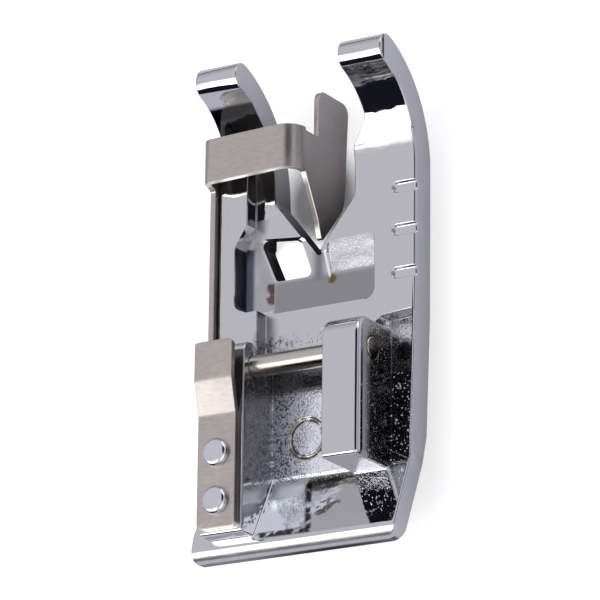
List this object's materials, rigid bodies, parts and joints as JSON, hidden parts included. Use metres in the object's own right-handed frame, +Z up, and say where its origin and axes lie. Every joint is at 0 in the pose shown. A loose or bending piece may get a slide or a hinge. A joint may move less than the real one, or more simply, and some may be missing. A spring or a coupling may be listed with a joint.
{
  "type": "sewing machine presser foot",
  "caption": "Clip-on presser foot with curled toes, a cross bar between a block and a lug, and a riveted sheet edge guide with a blade in the toe gap.",
  "frame": {"origin": "on the flat sole, straight below the middle of the cross bar", "axes": "+Y forward to the toes, +X to the right side, +Z up from the sole"},
  "size_m": [0.0175, 0.0356, 0.0091],
  "materials": {
    "foot_body": "bright chrome over a die casting, with a rough cast tub floor",
    "cross_pin": "polished round steel",
    "edge_guide": "rolled stainless sheet with cut edges",
    "rivet": "plated rivet heads"
  },
  "bodies": {
    "root": {"foot_body": "foot_body", "cross_pin": "cross_pin", "edge_guide": "edge_guide", "front_rivet": "rivet", "rear_rivet": "rivet"}
  },
  "joints": []
}
